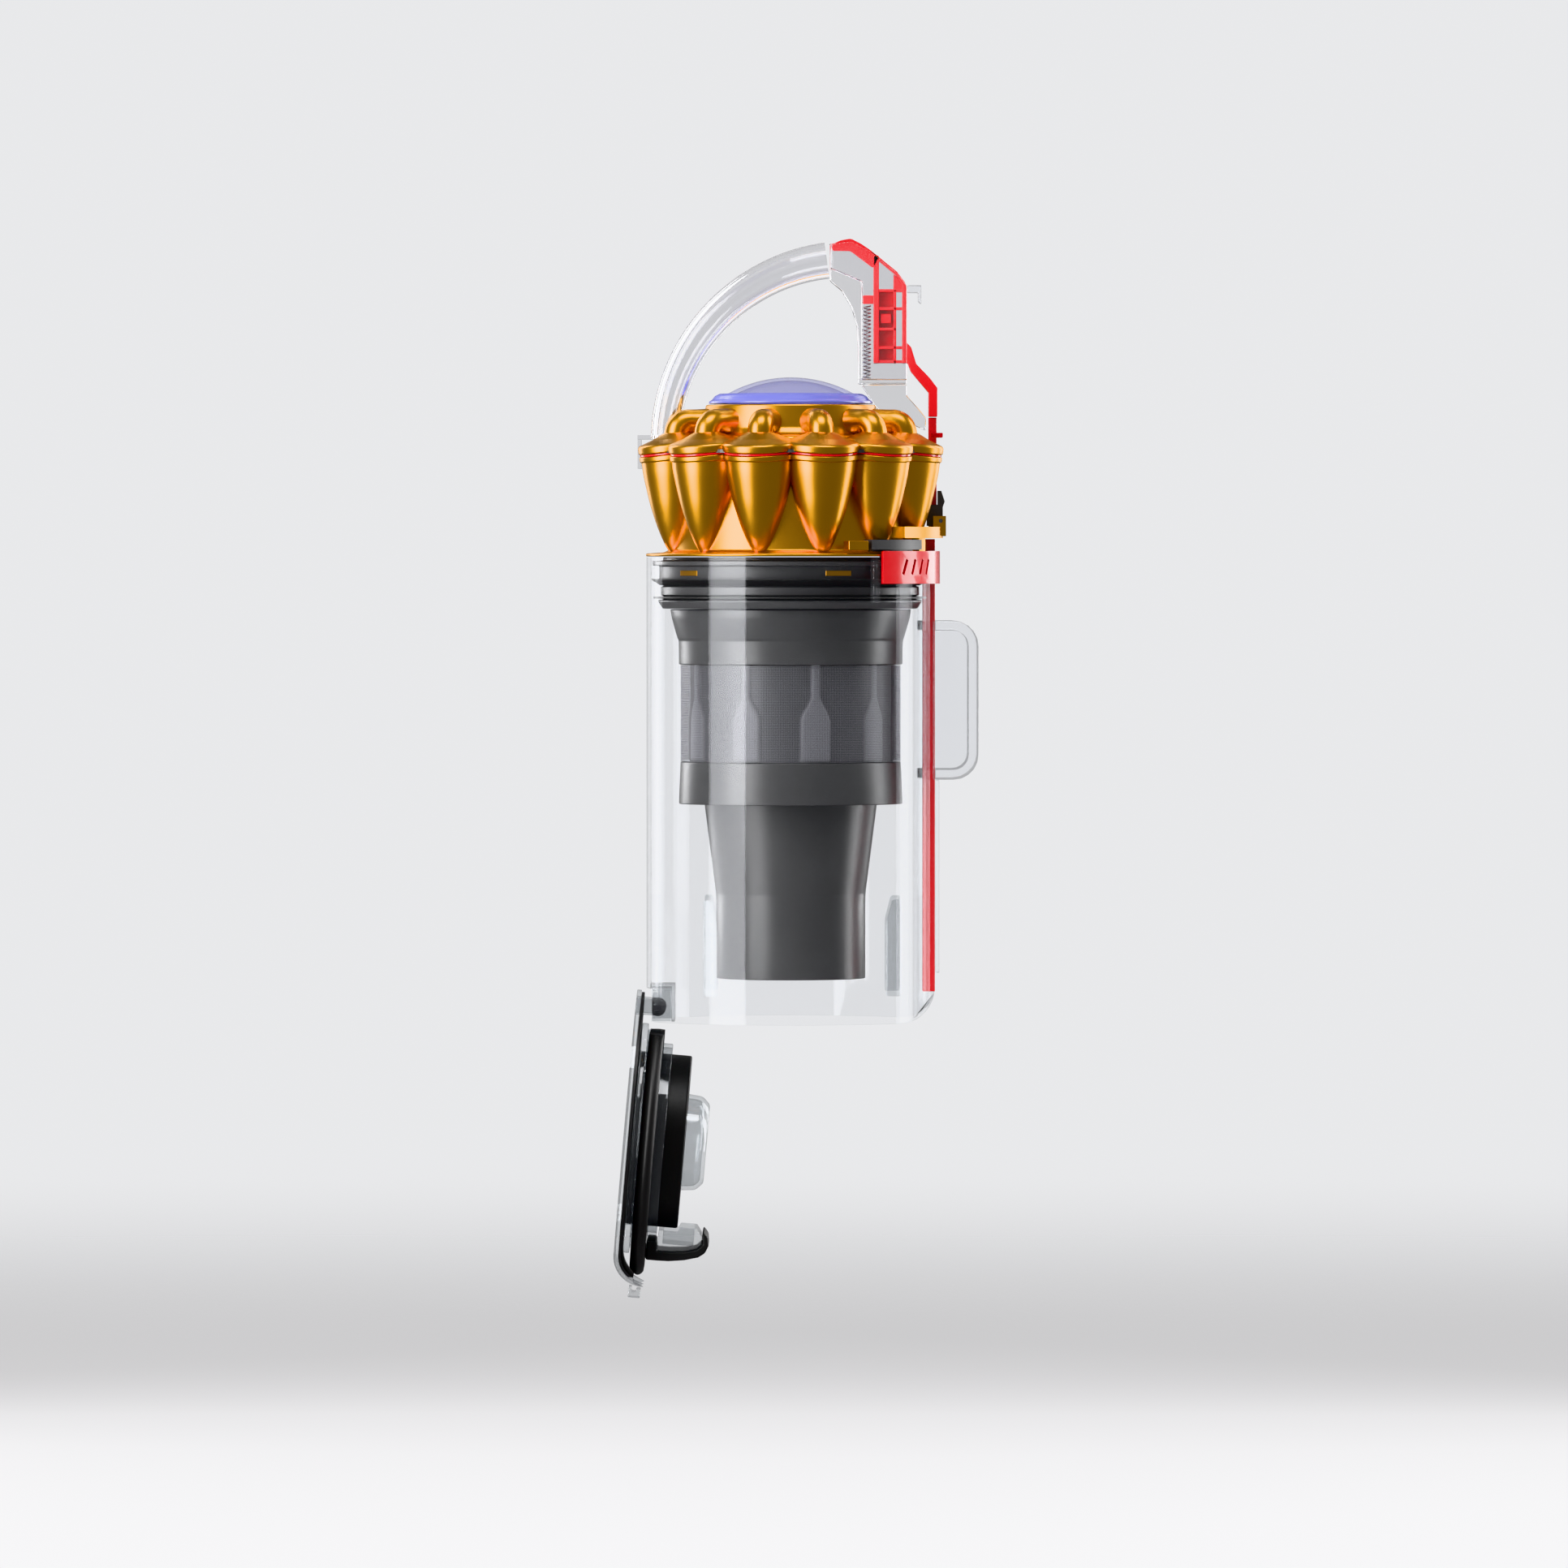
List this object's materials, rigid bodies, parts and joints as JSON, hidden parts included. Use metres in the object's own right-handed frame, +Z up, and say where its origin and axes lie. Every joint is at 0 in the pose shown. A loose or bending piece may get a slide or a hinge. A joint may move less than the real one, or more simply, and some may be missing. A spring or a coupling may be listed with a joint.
{
  "type": "bin and cyclone unit of an upright vacuum cleaner",
  "caption": "Removable clear dust bin with a gold multi-cone cyclone pack, carry handle, red release rod and a hinged base flap hanging open.",
  "frame": {"origin": "middle of the carry grip, on the bin's axis", "axes": "+Z up along the bin's axis, +X towards the release rod, +Y towards the inlet's mouth"},
  "size_m": [0.1891, 0.158, 0.5508],
  "materials": {
    "clear_bin": "clear polycarbonate, polished",
    "clear_port": "clear polycarbonate, thick walls",
    "clear_flap": "clear polycarbonate with moulded ribs",
    "clear_handle": "clear polycarbonate, polished",
    "clear_dome": "pale clear plastic",
    "red": "bright red gloss plastic",
    "red_gasket": "red soft gasket",
    "gold": "gold metallic paint, satin",
    "iron": "iron grey satin plastic",
    "mesh": "fine perforated screen, grey",
    "rubber": "black rubber",
    "lavender": "lavender plastic",
    "foam": "washable filter foam",
    "steel": "steel"
  },
  "bodies": {
    "bin": {"clear_bin": "clear_bin", "inlet_port": "clear_port", "rod_guide": "clear_bin", "hinge_pin": "steel"},
    "base_flap": {"flap_plate": "clear_flap", "flap_gasket": "rubber", "flap_rim_seal": "rubber", "inner_tray": "clear_flap", "collector_seal": "rubber", "collector_cup": "clear_flap", "duct_boot": "rubber", "boot_window": "clear_flap", "flap_catch": "clear_flap"},
    "release_rod": {"release_rod": "red", "rod_plate": "red"},
    "cyclone_pack": {"cyclone_body": "gold", "cyclone_gasket": "red_gasket", "vortex_plate": "iron", "cyclone_cover": "gold", "collar": "iron", "bin_seal": "rubber", "lower_seal": "rubber", "shroud_skirt": "iron", "shroud_screen": "mesh", "shroud_core": "iron", "lower_skirt": "iron", "dust_cone": "iron", "handle_arch": "clear_handle", "handle_column": "clear_handle", "handle_foot": "clear_handle", "docking_hook": "clear_handle", "arm_guide": "red", "latch_rail_front": "iron", "latch_rail_back": "iron", "rail_stop_front": "gold", "rail_stop_back": "gold", "catch_bracket": "gold", "catch_pin": "steel", "button_spring": "steel"},
    "release_button": {"release_button": "red", "push_arm": "red", "push_rod": "red"},
    "pack_catch": {"pack_catch": "iron"},
    "filter": {"filter_rim": "lavender", "filter_dome": "clear_dome", "filter_foam": "foam"}
  },
  "joints": [
    {"name": "flap_hinge", "type": "hinge", "parent": "bin", "child": "base_flap", "pos_m": [-0.069, 0, -0.385], "axis": [0, -1, 0], "range_deg": [0, 95]},
    {"name": "rod_slide", "type": "slide", "parent": "bin", "child": "release_rod", "axis": [0, 0, -1], "range_m": [0, 0.008], "stiffness_N_per_m": 120, "springref_m": -0.004},
    {"name": "pack_lift", "type": "slide", "parent": "bin", "child": "cyclone_pack", "axis": [0, 0, 1], "range_m": [0, 0.23]},
    {"name": "button_press", "type": "slide", "parent": "cyclone_pack", "child": "release_button", "axis": [0, 0, -1], "range_m": [0, 0.008], "stiffness_N_per_m": 300, "springref_m": -0.004, "deforming": ["button_spring"]},
    {"name": "catch_turn", "type": "hinge", "parent": "cyclone_pack", "child": "pack_catch", "pos_m": [0.0779, 0, -0.1321], "axis": [0, 1, 0], "range_deg": [0, 10], "stiffness_Nm_per_rad": 0.2, "springref_deg": -5.73},
    {"name": "filter_turn", "type": "hinge", "parent": "cyclone_pack", "child": "filter", "pos_m": [0, 0, -0.072], "axis": [0, 0, 1], "range_deg": [0, 20]}
  ],
  "couplings": [
    {"joint": "rod_slide", "follows": "button_press", "ratio": 1}
  ]
}
